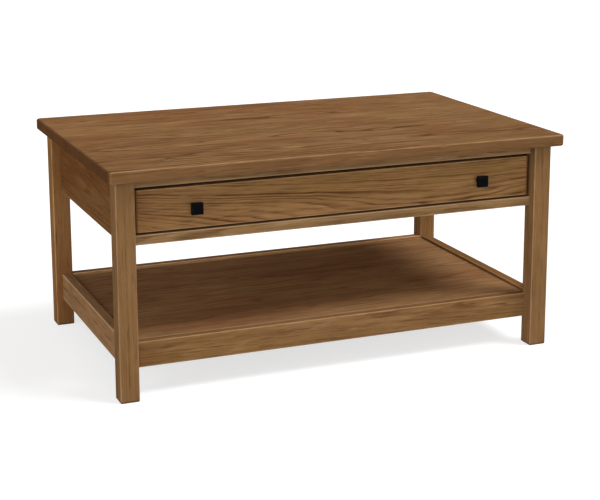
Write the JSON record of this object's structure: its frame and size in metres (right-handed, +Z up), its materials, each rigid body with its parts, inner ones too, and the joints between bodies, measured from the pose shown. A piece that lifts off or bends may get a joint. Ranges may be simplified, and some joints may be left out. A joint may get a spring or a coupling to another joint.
{
  "type": "coffee table",
  "caption": "Oak coffee table with an overhanging top on square legs, a wide inset drawer with square knobs on telescopic runners, and a lower shelf set between rails.",
  "frame": {"origin": "on the floor, under the middle of the top", "axes": "+X to the right along the length, -Y to the front where the drawer opens, +Z up"},
  "size_m": [0.965, 0.61, 0.457],
  "materials": {
    "stained_oak": "satin",
    "box_wood": "satin",
    "plywood": "satin",
    "zinc_steel": "satin",
    "ball_steel": "polished",
    "screw_steel": "satin",
    "black_iron": "satin"
  },
  "bodies": {
    "frame": {"table_top": "stained_oak", "leg_front_left": "stained_oak", "leg_front_right": "stained_oak", "leg_rear_left": "stained_oak", "leg_rear_right": "stained_oak", "side_apron_left": "stained_oak", "side_apron_right": "stained_oak", "rear_apron": "stained_oak", "front_top_rail": "stained_oak", "drawer_rail": "stained_oak", "shelf_front_rail": "stained_oak", "shelf_rear_rail": "stained_oak", "shelf_side_rail_left": "stained_oak", "shelf_side_rail_right": "stained_oak", "shelf_panel": "stained_oak", "shelf_cleat_left": "stained_oak", "shelf_cleat_right": "stained_oak", "shelf_cleat_front": "stained_oak", "shelf_cleat_rear": "stained_oak", "runner_outer_left": "zinc_steel", "runner_outer_right": "zinc_steel", "top_clips": "zinc_steel", "top_screws": "screw_steel", "shelf_screws": "screw_steel", "runner_outer_screws": "screw_steel"},
    "drawer": {"drawer_face": "stained_oak", "drawer_box_front": "box_wood", "drawer_box_back": "box_wood", "drawer_side_left": "box_wood", "drawer_side_right": "box_wood", "drawer_bottom": "plywood", "drawer_face_screws": "screw_steel", "knob_screws": "screw_steel", "runner_inner_screws": "screw_steel", "knob_left": "black_iron", "knob_right": "black_iron", "runner_inner_left": "zinc_steel", "runner_inner_right": "zinc_steel"},
    "middle_member_left": {"runner_middle_left": "zinc_steel"},
    "outer_cage_left": {"ball_cage_outer_left": "ball_steel"},
    "inner_cage_left": {"ball_cage_inner_left": "ball_steel"},
    "middle_member_right": {"runner_middle_right": "zinc_steel"},
    "outer_cage_right": {"ball_cage_outer_right": "ball_steel"},
    "inner_cage_right": {"ball_cage_inner_right": "ball_steel"}
  },
  "joints": [
    {"name": "drawer_slide", "type": "slide", "parent": "frame", "child": "drawer", "axis": [0, -1, 0], "range_m": [0, 0.44]},
    {"name": "outer_cage_left_slide", "type": "slide", "parent": "frame", "child": "outer_cage_left", "axis": [0, -1, 0], "range_m": [0, 0.11]},
    {"name": "middle_member_left_slide", "type": "slide", "parent": "frame", "child": "middle_member_left", "axis": [0, -1, 0], "range_m": [0, 0.22]},
    {"name": "inner_cage_left_slide", "type": "slide", "parent": "frame", "child": "inner_cage_left", "axis": [0, -1, 0], "range_m": [0, 0.33]},
    {"name": "outer_cage_right_slide", "type": "slide", "parent": "frame", "child": "outer_cage_right", "axis": [0, -1, 0], "range_m": [0, 0.11]},
    {"name": "middle_member_right_slide", "type": "slide", "parent": "frame", "child": "middle_member_right", "axis": [0, -1, 0], "range_m": [0, 0.22]},
    {"name": "inner_cage_right_slide", "type": "slide", "parent": "frame", "child": "inner_cage_right", "axis": [0, -1, 0], "range_m": [0, 0.33]}
  ],
  "couplings": [
    {"joint": "outer_cage_left_slide", "follows": "drawer_slide", "ratio": 0.25},
    {"joint": "middle_member_left_slide", "follows": "drawer_slide", "ratio": 0.5},
    {"joint": "inner_cage_left_slide", "follows": "drawer_slide", "ratio": 0.75},
    {"joint": "outer_cage_right_slide", "follows": "drawer_slide", "ratio": 0.25},
    {"joint": "middle_member_right_slide", "follows": "drawer_slide", "ratio": 0.5},
    {"joint": "inner_cage_right_slide", "follows": "drawer_slide", "ratio": 0.75}
  ]
}
